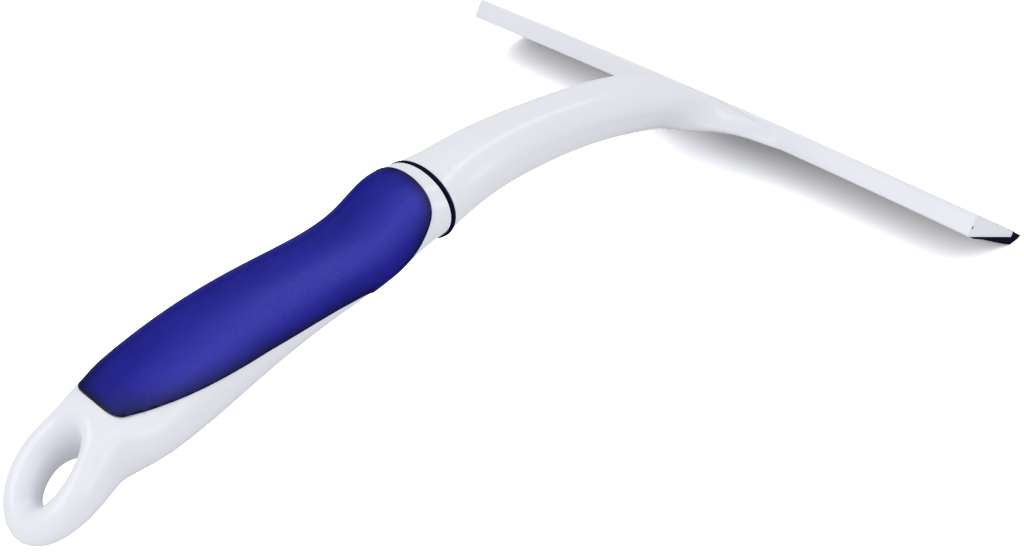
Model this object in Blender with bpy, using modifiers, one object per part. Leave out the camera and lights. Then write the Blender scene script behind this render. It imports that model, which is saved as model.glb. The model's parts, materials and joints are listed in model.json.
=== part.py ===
"""Shower squeegee: a wiper bar on an arched neck, a soft-grip handle and a hang loop.

Lengths below are in millimetres. "Back" is the distance behind the nose of the blade
and "up" is the height above the surface that the squeegee lies on.
"""

import math

import bmesh
import bpy
from mathutils import Matrix, Vector

MM = 0.001

# Driving sizes
BAR_WIDTH = 230.0
CENTRE_BACK = 160.07
BAR_BOW = 2.1
GAP = 0.3

# Wedge section of the blade holder
HEEL = (37.5, 18.1)
RIDGE = (33.4, 24.7)
LIP_TOP = (6.3, 5.1)
LIP_BOTTOM = (7.0, 3.2)
RIDGE_RADIUS = 1.4
HEEL_RADIUS = 0.6
LIP_RADIUS = 0.4
END_ROUNDING = 0.8
BAR_SEGMENTS = 14

# Wiper blade
BLADE_START = 33.2
BLADE_START_THICKNESS = 0.4
BLADE_UNDERSIDE = ((27.0, 11.9), (20.7, 8.1), (12.0, 2.8), (6.8, 0.0), (2.0, 0.0))
NOSE = (0.0, 0.9)
NOSE_RADIUS = 0.5
NOSE_TOP = (4.4, 4.0)
NOSE_TOP_RADIUS = 0.6
RIB_BACK = 25.0
RIB_NECK = 2.0
RIB_HEAD = 3.4
RIB_NECK_HEIGHT = 1.2
RIB_HEAD_HEIGHT = 1.4
RIB_ROOT = 0.6
GROOVE_ROOT = 1.0
RIB_END_MARGIN = 6.0

# Gate mark in one end face of the holder
GATE_RADIUS = 0.6
GATE_DEPTH = 0.8
GATE_SPOT = (34.9, 20.4)

# Joint between the neck and the handle
JOINT_BACK = 170.5
JOINT_UP = 42.4
JOINT_LEAN = math.radians(5.6)
RING_THICKNESS = 1.4
RING_PROUD = 0.35
RING_DROP = 0.35
RING_EDGE = 0.3
SPIGOT = (9.4, 5.6)
SPIGOT_LENGTH = 20.0
SPIGOT_ROOT = 4.0
SPIGOT_SLOPE = math.radians(12.0)
JOINT_SECTION = (15.9, 11.0)

# Stations of the neck from the joint to the bar: back, up, half width, half height
NECK = (
    (160.3, 43.4, 13.8, 10.5),
    (146.3, 45.3, 12.4, 10.5),
    (128.3, 45.0, 11.1, 10.5),
    (110.3, 43.4, 10.5, 10.1),
    (92.3, 41.0, 10.9, 9.9),
    (74.3, 36.8, 11.4, 10.0),
)

# Stations of the flare in planes along the holder's back face: distance behind that face, lean,
# top and bottom, then sideways reach and height of the crown's edge, the flank and the lower edge.
# Heights run up the back face from the heel.
FLARE = (
    (26.9, 24.0, 8.9, -9.2, 9.9, 4.6, 11.4, 0.0, 9.9, -4.7),
    (18.7, 31.8, 8.0, -8.3, 9.9, 3.6, 11.9, -1.0, 12.0, -5.2),
    (12.0, 31.8, 7.5, -7.4, 9.1, 5.0, 12.4, 0.6, 14.6, -3.4),
    (7.0, 31.8, 7.4, -5.9, 8.3, 6.0, 13.4, 2.0, 17.0, -1.9),
    (3.8, 31.8, 7.5, -4.0, 7.7, 6.6, 15.6, 3.4, 20.0, -1.3),
    (1.6, 31.8, 7.5, -2.2, 7.2, 6.9, 18.8, 4.6, 24.0, -0.6),
    (0.5, 31.8, 7.5, -0.9, 7.2, 6.7, 24.0, 4.8, 30.0, -0.2),
    (-0.4, 31.8, 7.3, 0.1, 7.0, 6.4, 35.0, 4.6, 44.0, 0.3),
    (-3.6, 31.8, 6.6, 1.2, 7.0, 6.0, 33.0, 4.4, 41.0, 1.2),
)

# Stations of the handle from the collar to the loop: back, up, half width, half height
HANDLE = (
    (180.3, 42.4, 15.6, 12.8),
    (191.2, 36.9, 15.2, 10.7),
    (204.3, 34.5, 15.0, 11.1),
    (216.2, 33.6, 14.8, 12.0),
    (232.2, 32.3, 16.0, 13.3),
    (248.2, 29.9, 17.4, 14.1),
    (262.2, 26.6, 18.4, 14.4),
    (276.2, 23.2, 18.5, 13.7),
    (283.4, 21.4, 18.0, 12.3),
)

# Hang loop: an oval ring, tilted down to the rear, arched, and deeper at its front than its rear.
# Each oval has its place ahead of the loop's centre, half width and half length. The sweep takes
# the underside of the loop's front to the rear.
LOOP_BACK = 303.2
LOOP_UP = 11.5
LOOP_TILT = math.radians(32.4)
LOOP_ARCH = 2.4
LOOP_OUTER = (1.5, 16.2, 20.1)
LOOP_HOLE = (2.6, 5.4, 10.0)
LOOP_DEPTH_FRONT = 9.6
LOOP_DEPTH_SIDE = 6.4
LOOP_DEPTH_REAR = 4.6
LOOP_SWEEP = 7.6
LOOP_SECTORS = 8

# Grip panel, seen from the side: back, up and corner radius
GRIP_OUTLINE = (
    (290.4, 64.0, 0.0),
    (289.3, 31.4, 3.0),
    (276.2, 32.0, 20.0),
    (242.2, 32.5, 60.0),
    (214.2, 31.6, 20.0),
    (203.0, 31.0, 8.0),
    (197.0, 25.0, 4.0),
    (184.7, 37.5, 30.0),
    (176.5, 48.8, 20.0),
    (173.3, 64.8, 0.0),
)
GRIP_THICKNESS = 2.4
GRIP_PROUD = 0.4
GRIP_SIDE_REACH = 30.0

# Fineness of the forms. A ring's shoulders lie at the share of its reach and rise that makes them
# round, and a square of four cage corners softens to a round bead of two thirds of its size.
NECK_POINTS = 12
HANDLE_POINTS = 8
SHOULDER_REACH = 0.577
SHOULDER_RISE = 0.732
BEAD_SWELL = 1.5
CAGE_ROUNDS = 20
SOFT_LEVELS = 2
ARC_STEPS = 4
PEG_SEGMENTS = 24
RING_SEGMENTS = 32
GATE_SEGMENTS = 12
MERGE_DISTANCE = 0.00001


def clear_scene():
    """Remove everything that a new file holds."""
    for item in list(bpy.data.objects):
        bpy.data.objects.remove(item, do_unlink=True)


def make_collections():
    """One collection for the squeegee and one for its cutters."""
    parts = bpy.data.collections.new("shower_squeegee")
    cutters = bpy.data.collections.new("cutters")
    bpy.context.scene.collection.children.link(parts)
    bpy.context.scene.collection.children.link(cutters)
    return parts, cutters


def place(x, back, up):
    """World point of a position given in the squeegee's own terms."""
    return Vector((x, CENTRE_BACK - back, up)) * MM


def plastic(name, colour, roughness):
    """A plain plastic or rubber."""
    material = bpy.data.materials.new(name)
    material.use_nodes = True
    shader = material.node_tree.nodes["Principled BSDF"]
    shader.inputs["Base Color"].default_value = (*colour, 1.0)
    shader.inputs["Roughness"].default_value = roughness
    shader.inputs["Metallic"].default_value = 0.0
    material.diffuse_color = (*colour, 1.0)
    return material


def white_gloss():
    return plastic("white_gloss", (0.80, 0.80, 0.86), 0.28)


def blue_soft_touch():
    return plastic("blue_soft_touch", (0.030, 0.026, 0.36), 0.55)


def navy_rubber():
    return plastic("navy_rubber", (0.012, 0.012, 0.12), 0.45)


def add_object(name, mesh, collection):
    item = bpy.data.objects.new(name, mesh)
    collection.objects.link(item)
    return item


def mesh_object(name, points, faces, collection):
    """An object from corner points in metres and faces."""
    mesh = bpy.data.meshes.new(name)
    mesh.from_pydata([tuple(point) for point in points], [], faces)
    body = bmesh.new()
    body.from_mesh(mesh)
    bmesh.ops.recalc_face_normals(body, faces=body.faces)
    body.to_mesh(mesh)
    body.free()
    return add_object(name, mesh, collection)


def smooth(item):
    for polygon in item.data.polygons:
        polygon.use_smooth = True


def crease_ring(item, ring):
    """Keep the edges of one closed ring of corner numbers sharp when it is softened."""
    pairs = {frozenset((ring[i], ring[(i + 1) % len(ring)])) for i in range(len(ring))}
    layer = item.data.attributes.new("crease_edge", "FLOAT", "EDGE")
    for edge in item.data.edges:
        if frozenset(edge.vertices) in pairs:
            layer.data[edge.index].value = 1.0


def soften(item):
    """Round a coarse cage into a smooth form."""
    modifier = item.modifiers.new("soft", "SUBSURF")
    modifier.levels = SOFT_LEVELS
    modifier.render_levels = SOFT_LEVELS
    smooth(item)


def combine(item, other, operation):
    """Cut, join or intersect one body with another one."""
    modifier = item.modifiers.new(other.name, "BOOLEAN")
    modifier.operation = operation
    modifier.solver = "EXACT"
    modifier.object = other
    other.hide_render = True
    other.display_type = "WIRE"


def rounded(outline):
    """Replace the corners of a closed outline of (back, up, radius) by arcs."""
    result = []
    count = len(outline)
    for i in range(count):
        corner = Vector(outline[i][:2])
        radius = outline[i][2]
        if radius == 0.0:
            result.append(tuple(corner))
            continue
        before = (Vector(outline[i - 1][:2]) - corner).normalized()
        after = (Vector(outline[(i + 1) % count][:2]) - corner).normalized()
        half = before.angle(after) / 2
        centre = corner + (before + after).normalized() * radius / math.sin(half)
        first = corner + before * radius / math.tan(half) - centre
        last = corner + after * radius / math.tan(half) - centre
        sweep = first.angle_signed(last)
        for step in range(ARC_STEPS + 1):
            turn = Matrix.Rotation(-sweep * step / ARC_STEPS, 2)
            result.append(tuple(centre + turn @ first))
    return result


def grown(outline, distance):
    """Move the sides of an outline of (back, up, radius) outward by one distance."""
    count = len(outline)
    area = sum(
        outline[i][0] * outline[(i + 1) % count][1] - outline[(i + 1) % count][0] * outline[i][1]
        for i in range(count)
    )
    side = math.copysign(1.0, area)
    result = []
    for i in range(count):
        corner = Vector(outline[i][:2])
        before = (corner - Vector(outline[i - 1][:2])).normalized()
        after = (Vector(outline[(i + 1) % count][:2]) - corner).normalized()
        normal = (Vector((before.y, -before.x)) + Vector((after.y, -after.x))).normalized()
        reach = distance / normal.dot(Vector((before.y, -before.x)))
        moved = corner + normal * reach * side
        result.append((moved.x, moved.y, outline[i][2]))
    return result


def prism(name, outline, half_width, collection):
    """A body of one side outline of (back, up) points, reaching half_width to each side."""
    curve = bpy.data.curves.new(name, "CURVE")
    curve.dimensions = "2D"
    curve.fill_mode = "BOTH"
    curve.extrude = half_width * MM
    spline = curve.splines.new("POLY")
    spline.points.add(len(outline) - 1)
    for point, (back, up) in zip(spline.points, outline):
        spot = place(0.0, back, up)
        point.co = (spot.y, spot.z, 0.0, 1.0)
    spline.use_cyclic_u = True
    flat = bpy.data.objects.new(name, curve)
    bpy.context.scene.collection.objects.link(flat)
    bpy.context.view_layer.update()
    evaluated = flat.evaluated_get(bpy.context.evaluated_depsgraph_get())
    mesh = bpy.data.meshes.new_from_object(evaluated)
    mesh.name = name
    bpy.data.objects.remove(flat, do_unlink=True)
    side_view = Matrix(((0, 0, 1, 0), (1, 0, 0, 0), (0, 1, 0, 0), (0, 0, 0, 1)))
    mesh.transform(side_view)
    body = bmesh.new()
    body.from_mesh(mesh)
    bmesh.ops.remove_doubles(body, verts=body.verts, dist=MERGE_DISTANCE)
    bmesh.ops.recalc_face_normals(body, faces=body.faces)
    body.to_mesh(mesh)
    body.free()
    return add_object(name, mesh, collection)


def bow(item):
    """Slice a straight bar across and sweep its ends back along a shallow bow."""
    body = bmesh.new()
    body.from_mesh(item.data)
    half = BAR_WIDTH / 2 * MM
    for step in range(1, BAR_SEGMENTS):
        cut = -half + 2 * half * step / BAR_SEGMENTS
        everything = body.verts[:] + body.edges[:] + body.faces[:]
        bmesh.ops.bisect_plane(body, geom=everything, plane_co=(cut, 0, 0), plane_no=(1, 0, 0))
    for corner in body.verts:
        corner.co.y -= BAR_BOW * MM * (corner.co.x / half) ** 2
    body.to_mesh(item.data)
    body.free()


def bevel_ends(item):
    """Round the rims of the end faces a little."""
    modifier = item.modifiers.new("end_rounding", "BEVEL")
    modifier.width = END_ROUNDING * MM
    modifier.segments = 2
    modifier.limit_method = "ANGLE"
    modifier.angle_limit = math.radians(75.0)


def underside(back):
    """Height of the holder's underside."""
    slope = (HEEL[1] - LIP_BOTTOM[1]) / (HEEL[0] - LIP_BOTTOM[0])
    return LIP_BOTTOM[1] + slope * (back - LIP_BOTTOM[0])


def rib_outline(growth, root):
    """T-shaped rib square to the underside, from root below it to its head."""
    foot = Vector((RIB_BACK, underside(RIB_BACK)))
    along = Vector((HEEL[0] - LIP_BOTTOM[0], HEEL[1] - LIP_BOTTOM[1])).normalized()
    inward = Vector((-along.y, along.x))
    neck = RIB_NECK / 2 + growth
    head = RIB_HEAD / 2 + growth
    shoulder = RIB_NECK_HEIGHT - growth
    crown = RIB_NECK_HEIGHT + RIB_HEAD_HEIGHT + growth
    steps = (
        (-neck, -root),
        (neck, -root),
        (neck, shoulder),
        (head, shoulder),
        (head, crown),
        (-head, crown),
        (-head, shoulder),
        (-neck, shoulder),
    )
    return [tuple(foot + along * a + inward * b) for a, b in steps]


def oval_ring(centre, across, rise, half_width, half_height, count):
    """Cage ring whose softened form is an ellipse of the given half sizes."""
    shrink = (4 + 2 * math.cos(2 * math.pi / count)) / 6
    points = []
    for i in range(count):
        angle = 2 * math.pi * i / count
        sideways = across * math.cos(angle) * half_width / shrink
        points.append(centre + (sideways + rise * math.sin(angle) * half_height / shrink) * MM)
    return points


def station_rings(stations, first_slope, inset, count):
    """Oval rings square to the line through a row of stations."""
    rings = []
    for i, (back, up, half_width, half_height) in enumerate(stations):
        before = stations[max(i - 1, 0)]
        after = stations[min(i + 1, len(stations) - 1)]
        slope = math.atan((before[1] - after[1]) / (after[0] - before[0]))
        if i == 0:
            slope = first_slope
        rise = Vector((0.0, -math.sin(slope), math.cos(slope)))
        width = half_width - inset
        height = half_height - inset
        rings.append(oval_ring(place(0.0, back, up), Vector((1, 0, 0)), rise, width, height, count))
    return rings


def joint_point(along, slope):
    """Point on a line through the joint that falls towards the handle by the slope."""
    back = JOINT_BACK + along * math.cos(slope)
    return back, JOINT_UP - along * math.sin(slope)


def joint_matrix(along, slope):
    """Frame on such a line with its Z axis pointing towards the bar."""
    turn = Matrix.Rotation(-math.pi / 2 + slope, 4, "X")
    return Matrix.Translation(place(0.0, *joint_point(along, slope))) @ turn


def passing_cage(targets):
    """Closed cage whose softened form passes through the target points."""
    cage = list(targets)
    count = len(cage)
    for _ in range(CAGE_ROUNDS):
        for i in range(count):
            cage[i] = (6 * targets[i] - cage[i - 1] - cage[(i + 1) % count]) / 4
    return cage


def flare_ring(offset, lean, top, bottom, crown_x, crown_t, flank_x, flank_t, edge_x, edge_t):
    """Ring behind the holder's back face: a crown, a flank at each side and an underside."""
    face = Vector((RIDGE[0] - HEEL[0], RIDGE[1] - HEEL[1])).normalized()
    foot = Vector(HEEL) + Vector((face.y, -face.x)) * offset
    rise = Vector((-math.sin(math.radians(lean)), math.cos(math.radians(lean))))
    over = crown_t + (top - crown_t) * SHOULDER_RISE
    under = edge_t + (bottom - edge_t) * SHOULDER_RISE
    right = [
        (0.0, bottom),
        (edge_x * SHOULDER_REACH, under),
        (edge_x, edge_t),
        (flank_x, flank_t),
        (crown_x, crown_t),
        (crown_x * SHOULDER_REACH, over),
        (0.0, top),
    ]
    left = [(-x, t) for x, t in right[-2:0:-1]]
    outline = right[3:] + left + right[:3]
    return passing_cage([place(x, *(foot + rise * t)) for x, t in outline])


def stitch(rings):
    """Corner points and side faces of a row of equal rings."""
    count = len(rings[0])
    points = [point for ring in rings for point in ring]
    faces = []
    for r in range(len(rings) - 1):
        for i in range(count):
            j = (i + 1) % count
            faces.append((r * count + i, r * count + j, (r + 1) * count + j, (r + 1) * count + i))
    return points, faces


def neck_form(cutters):
    """Arched neck that spreads into the bar, as a soft body with a flat joint face."""
    face_back, face_up = joint_point(-RING_THICKNESS / 2 - GAP, -JOINT_LEAN)
    stations = ((face_back, face_up, *JOINT_SECTION),) + NECK
    rings = station_rings(stations, -JOINT_LEAN, 0.0, NECK_POINTS)
    rings += [flare_ring(*station) for station in FLARE]
    points, faces = stitch(rings)
    last = len(points) - NECK_POINTS
    faces.append(tuple(range(NECK_POINTS)))
    faces.append(tuple(range(last, last + NECK_POINTS)))
    neck = mesh_object("neck_form", points, faces, cutters)
    crease_ring(neck, list(range(NECK_POINTS)))
    soften(neck)
    return neck


def oval_peg(name, half_sizes, start, end, collection):
    """Straight peg of oval section through the joint, on the spigot's axis."""
    mesh = bpy.data.meshes.new(name)
    body = bmesh.new()
    bmesh.ops.create_cone(
        body,
        cap_ends=True,
        segments=PEG_SEGMENTS,
        radius1=1.0,
        radius2=1.0,
        depth=(end - start) * MM,
    )
    bmesh.ops.scale(body, vec=(half_sizes[0] * MM, half_sizes[1] * MM, 1.0), verts=body.verts)
    bmesh.ops.transform(body, matrix=joint_matrix((start + end) / 2, SPIGOT_SLOPE), verts=body.verts)
    body.to_mesh(mesh)
    body.free()
    return add_object(name, mesh, collection)


def build_head(parts, cutters):
    """Blade holder, neck and spigot in one moulding."""
    holder = (
        (*HEEL, HEEL_RADIUS),
        (*RIDGE, RIDGE_RADIUS),
        (*LIP_TOP, LIP_RADIUS),
        (*LIP_BOTTOM, LIP_RADIUS),
    )
    head = prism("head", rounded(holder), BAR_WIDTH / 2, parts)
    bow(head)
    bevel_ends(head)
    combine(head, neck_form(cutters), "UNION")
    spigot_start = -RING_THICKNESS / 2 - GAP - SPIGOT_ROOT
    spigot_end = RING_THICKNESS / 2 + GAP + SPIGOT_LENGTH
    combine(head, oval_peg("spigot_form", SPIGOT, spigot_start, spigot_end, cutters), "UNION")
    groove_half = BAR_WIDTH / 2 - RIB_END_MARGIN
    groove = prism("groove_cutter", rib_outline(GAP, GROOVE_ROOT), groove_half, cutters)
    bow(groove)
    combine(head, groove, "DIFFERENCE")
    combine(head, gate_cutter(cutters), "DIFFERENCE")
    smooth(head)
    head.data.materials.append(white_gloss())
    return head


def gate_cutter(cutters):
    """Small blind hole in one end face of the holder."""
    spot = place(BAR_WIDTH / 2, GATE_SPOT[0] + BAR_BOW, GATE_SPOT[1])
    mesh = bpy.data.meshes.new("gate_cutter")
    body = bmesh.new()
    bmesh.ops.create_cone(
        body,
        cap_ends=True,
        segments=GATE_SEGMENTS,
        radius1=GATE_RADIUS * MM,
        radius2=GATE_RADIUS * MM,
        depth=2 * GATE_DEPTH * MM,
    )
    turn = Matrix.Rotation(math.pi / 2, 4, "Y")
    bmesh.ops.transform(body, matrix=Matrix.Translation(spot) @ turn, verts=body.verts)
    body.to_mesh(mesh)
    body.free()
    return add_object("gate_cutter", mesh, cutters)


def build_blade(parts, cutters):
    """Rubber wiper: a wedge under the holder with a lip round its front and a rib on top."""
    along = Vector((HEEL[0] - LIP_BOTTOM[0], HEEL[1] - LIP_BOTTOM[1])).normalized()
    drop = GAP / along.x
    start = underside(BLADE_START) - drop
    outline = [(BLADE_START, start, 0.0), (BLADE_START, start - BLADE_START_THICKNESS, 0.0)]
    outline += [(back, up, 0.0) for back, up in BLADE_UNDERSIDE]
    outline += [(*NOSE, NOSE_RADIUS), (*NOSE_TOP, NOSE_TOP_RADIUS)]
    outline += [(LIP_TOP[0] - GAP, LIP_TOP[1], 0.0)]
    corner = LIP_BOTTOM[0] - GAP
    outline += [(corner, underside(corner) - drop, 0.0)]
    blade = prism("blade", rounded(outline), BAR_WIDTH / 2, parts)
    bow(blade)
    rib_half = BAR_WIDTH / 2 - RIB_END_MARGIN - GAP
    rib = prism("rib_form", rib_outline(0.0, GAP + RIB_ROOT), rib_half, cutters)
    bow(rib)
    combine(blade, rib, "UNION")
    blade.data.materials.append(navy_rubber())
    return blade


def loop_points(inset):
    """Cage of the hang loop: outer, top, inner and bottom corners of every sector."""
    shrink = (4 + 2 * math.cos(2 * math.pi / LOOP_SECTORS)) / 6
    ahead = Vector((0.0, math.cos(LOOP_TILT), math.sin(LOOP_TILT)))
    rise = Vector((0.0, -math.sin(LOOP_TILT), math.cos(LOOP_TILT)))
    centre = place(0.0, LOOP_BACK, LOOP_UP)

    def oval_point(oval, growth, angle):
        start, half_width, half_length = oval
        across = math.sin(angle) * (half_width + growth) / shrink
        along = math.cos(angle) * (half_length + growth) / shrink
        return Vector((across, 0.0, 0.0)) + ahead * (start + along)

    sectors = []
    for k in range(LOOP_SECTORS):
        angle = 2 * math.pi * k / LOOP_SECTORS
        arch = rise * math.sin(angle) ** 2 * LOOP_ARCH
        rim = oval_point(LOOP_OUTER, -inset, angle)
        hole = oval_point(LOOP_HOLE, inset, angle)
        middle = (rim + hole) / 2
        front = max(0.0, math.cos(angle))
        rear = max(0.0, -math.cos(angle))
        depth = LOOP_DEPTH_FRONT * front + LOOP_DEPTH_REAR * rear
        depth = (depth + LOOP_DEPTH_SIDE * (1 - front - rear) - inset) * BEAD_SWELL
        outer = centre + (middle + (rim - middle) * BEAD_SWELL + arch) * MM
        top = centre + (middle + rise * depth + arch) * MM
        inner = centre + (middle + (hole - middle) * BEAD_SWELL + arch) * MM
        bottom = centre + (middle - rise * depth + arch - ahead * LOOP_SWEEP * front) * MM
        sectors.append((outer, top, inner, bottom))
    return sectors


def handle_form(name, inset, collection):
    """Handle with its hang loop as one soft body, shrunk inward by the inset."""
    face_back, face_up = joint_point(RING_THICKNESS / 2 + GAP, -JOINT_LEAN)
    stations = ((face_back, face_up, *JOINT_SECTION),) + HANDLE
    rings = station_rings(stations, -JOINT_LEAN, inset, HANDLE_POINTS)
    points, faces = stitch(rings)
    faces.append(tuple(range(HANDLE_POINTS)))
    tail = len(points) - HANDLE_POINTS
    base = len(points)
    for sector in loop_points(inset):
        points += sector

    def spot(sector, corner):
        return base + (sector % LOOP_SECTORS) * 4 + corner

    outer, top, inner, bottom = range(4)
    last = LOOP_SECTORS - 1
    landing = (
        spot(1, outer),
        spot(1, top),
        spot(0, top),
        spot(last, top),
        spot(last, outer),
        spot(last, bottom),
        spot(0, bottom),
        spot(1, bottom),
    )
    for i in range(HANDLE_POINTS):
        j = (i + 1) % HANDLE_POINTS
        faces.append((tail + i, tail + j, landing[j], landing[i]))
    for k in range(LOOP_SECTORS):
        faces.append((spot(k, top), spot(k + 1, top), spot(k + 1, inner), spot(k, inner)))
        faces.append((spot(k, inner), spot(k + 1, inner), spot(k + 1, bottom), spot(k, bottom)))
        if 1 <= k < last:
            faces.append((spot(k, outer), spot(k + 1, outer), spot(k + 1, top), spot(k, top)))
            faces.append((spot(k, bottom), spot(k + 1, bottom), spot(k + 1, outer), spot(k, outer)))
    used = sorted({corner for face in faces for corner in face})
    number = {corner: index for index, corner in enumerate(used)}
    kept = [points[corner] for corner in used]
    faces = [tuple(number[corner] for corner in face) for face in faces]
    form = mesh_object(name, kept, faces, collection)
    crease_ring(form, list(range(HANDLE_POINTS)))
    soften(form)
    return form


def build_handle(parts, cutters):
    """Grip core, collar, socket and hang loop in one moulding."""
    handle = handle_form("handle", 0.0, parts)
    recess_outline = rounded(grown(GRIP_OUTLINE, GAP))
    recess = prism("recess_cutter", recess_outline, GRIP_SIDE_REACH, cutters)
    combine(recess, handle_form("recess_floor", GRIP_THICKNESS, cutters), "DIFFERENCE")
    combine(handle, recess, "DIFFERENCE")
    socket = (SPIGOT[0] + GAP, SPIGOT[1] + GAP)
    mouth = -SPIGOT_ROOT
    floor = RING_THICKNESS / 2 + 2 * GAP + SPIGOT_LENGTH
    combine(handle, oval_peg("socket_cutter", socket, mouth, floor, cutters), "DIFFERENCE")
    handle.data.materials.append(white_gloss())
    return handle


def build_grip(parts, cutters):
    """Soft panel over the top and sides of the handle."""
    grip = prism("grip", rounded(GRIP_OUTLINE), GRIP_SIDE_REACH, parts)
    combine(grip, handle_form("grip_skin", -GRIP_PROUD, cutters), "INTERSECT")
    combine(grip, handle_form("grip_lining", GRIP_THICKNESS - GAP, cutters), "DIFFERENCE")
    smooth(grip)
    grip.data.materials.append(blue_soft_touch())
    return grip


def build_joint_ring(parts, cutters):
    """Flat oval ring between the neck and the collar, a little proud of both."""
    mesh = bpy.data.meshes.new("joint_ring")
    body = bmesh.new()
    bmesh.ops.create_cone(
        body,
        cap_ends=True,
        segments=RING_SEGMENTS,
        radius1=1.0,
        radius2=1.0,
        depth=RING_THICKNESS * MM,
    )
    half_width = (JOINT_SECTION[0] + RING_PROUD) * MM
    half_height = (JOINT_SECTION[1] + RING_PROUD + RING_DROP) * MM
    bmesh.ops.scale(body, vec=(half_width, half_height, 1.0), verts=body.verts)
    bmesh.ops.translate(body, vec=(0.0, RING_DROP * MM, 0.0), verts=body.verts)
    bmesh.ops.transform(body, matrix=joint_matrix(0.0, -JOINT_LEAN), verts=body.verts)
    body.to_mesh(mesh)
    body.free()
    ring = add_object("joint_ring", mesh, parts)
    edge = ring.modifiers.new("rounded_edge", "BEVEL")
    edge.width = RING_EDGE * MM
    edge.segments = 2
    edge.limit_method = "ANGLE"
    edge.angle_limit = math.radians(60.0)
    hole = (SPIGOT[0] + GAP, SPIGOT[1] + GAP)
    combine(ring, oval_peg("ring_cutter", hole, -SPIGOT_ROOT, SPIGOT_ROOT, cutters), "DIFFERENCE")
    smooth(ring)
    ring.data.materials.append(navy_rubber())
    return ring


def main():
    clear_scene()
    parts, cutters = make_collections()
    build_head(parts, cutters)
    build_blade(parts, cutters)
    build_handle(parts, cutters)
    build_grip(parts, cutters)
    build_joint_ring(parts, cutters)


main()
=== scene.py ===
"""Looks of the shower squeegee: fine surfaces, materials, floor, light and camera.

Lengths are in millimetres unless a comment says metres, and plain angles are in degrees.
"Back" is the distance behind the nose of the blade and "up" is the height above the surface
that the squeegee lies on.
"""

import json
import math

import bmesh
import bpy
from mathutils import Matrix, Vector

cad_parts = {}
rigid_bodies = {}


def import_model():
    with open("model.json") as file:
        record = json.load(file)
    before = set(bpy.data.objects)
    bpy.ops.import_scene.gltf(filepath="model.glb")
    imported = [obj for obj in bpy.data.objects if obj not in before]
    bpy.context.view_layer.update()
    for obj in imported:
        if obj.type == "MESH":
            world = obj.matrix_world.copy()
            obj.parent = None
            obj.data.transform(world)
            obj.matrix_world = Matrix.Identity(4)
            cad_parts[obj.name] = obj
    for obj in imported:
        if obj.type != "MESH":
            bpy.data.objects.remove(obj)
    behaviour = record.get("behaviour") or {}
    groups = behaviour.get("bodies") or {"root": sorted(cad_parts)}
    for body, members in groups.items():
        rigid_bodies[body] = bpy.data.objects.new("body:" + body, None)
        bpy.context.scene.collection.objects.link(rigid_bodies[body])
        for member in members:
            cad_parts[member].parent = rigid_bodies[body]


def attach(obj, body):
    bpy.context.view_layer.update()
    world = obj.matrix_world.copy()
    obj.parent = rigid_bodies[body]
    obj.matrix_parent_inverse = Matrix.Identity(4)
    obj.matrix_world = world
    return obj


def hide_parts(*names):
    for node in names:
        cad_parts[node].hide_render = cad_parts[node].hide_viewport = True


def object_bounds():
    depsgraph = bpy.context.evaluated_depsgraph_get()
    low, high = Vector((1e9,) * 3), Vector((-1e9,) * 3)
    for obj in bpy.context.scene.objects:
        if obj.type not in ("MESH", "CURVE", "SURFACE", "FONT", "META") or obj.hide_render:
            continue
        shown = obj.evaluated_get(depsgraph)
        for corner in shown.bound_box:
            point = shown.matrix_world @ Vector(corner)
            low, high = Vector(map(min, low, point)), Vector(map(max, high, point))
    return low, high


MM = 0.001

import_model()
cad_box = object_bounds()

# Camera of the photograph, with its near limit in metres
IMAGE_WIDTH = 1024
CAMERA_PLACE = (320.84, -276.47, 307.50)
CAMERA_YAW = 46.466
CAMERA_PITCH = 35.397
CAMERA_ROLL = -1.490
CAMERA_FOCAL_PIXELS = 1599.6
SENSOR_WIDTH = 36.0
NEAR_LIMIT = 0.01

# Light. A lamp has its place and size in metres, its power and its colour, and points at the
# middle of the squeegee.
WHITE = (1.0, 1.0, 1.0)
LAVENDER = (0.98, 0.96, 1.0)
WORLD_COLOUR = (0.96, 0.97, 1.0)
WORLD_LEVEL = 0.74
LAMP_AIM = (0.0, 0.0, 0.04)
LAMPS = (
    ("top_box", (-0.30, 0.05, 0.95), (0.70, 0.70), 0.9, WHITE),
    ("strip_box", (0.07, 0.60, 0.95), (0.10, 0.90), 1.0, WHITE),
    ("rear_box", (-0.20, -0.90, 0.55), (0.80, 0.50), 2.4, WHITE),
    ("camera_box", (0.75, -0.55, 0.80), (0.60, 0.60), 0.8, WHITE),
    ("side_box", (1.00, -0.20, 0.30), (0.60, 0.40), 1.16, LAVENDER),
    ("band_box", (0.88, 0.68, 0.64), (0.15, 0.50), 0.7, WHITE),
)

# Floor: half its width in metres, how far it lies under the squeegee, its brightness in the light
# that it throws back, and the gain and the glow that whiten it for the camera
FLOOR_REACH = 4.0
FLOOR_DROP = 0.2
FLOOR_LEVEL = 0.86
FLOOR_GAIN = 2.2
FLOOR_LIFT = 0.04

# Colours of the materials. A pair of shades is blended by noise.
WHITE_SHADES = ((0.735, 0.739, 0.790), (0.748, 0.752, 0.798))
# Painted shade in the gate mark's hole
PIT_SHADE_COLOUR = (0.38, 0.38, 0.42)
GRIP_SHADES = ((0.005, 0.005, 0.160), (0.008, 0.008, 0.205))
# Painted highlight: the paler blue of the grip's band along its +X shoulder
HIGHLIGHT_BAND_SHADES = ((0.006, 0.006, 0.265), (0.010, 0.010, 0.310))
# Painted highlight: the bright streak along the middle of that band, and how narrow it is
PAINTED_STREAK_COLOUR = (0.030, 0.030, 0.360)
PAINTED_STREAK_NARROWNESS = 8.0
SPECK_COLOUR = (0.001, 0.001, 0.120)
# Painted shade: the near-black navy at the grip's rim
RIM_SHADE_COLOUR = (0.0006, 0.0006, 0.030)
RUBBER_SHADES = ((0.0008, 0.0008, 0.013), (0.0015, 0.0015, 0.020))

# Driving sizes
BAR_WIDTH = 230.0
CENTRE_BACK = 160.07
BAR_BOW = 2.1
GAP = 0.3

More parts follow.
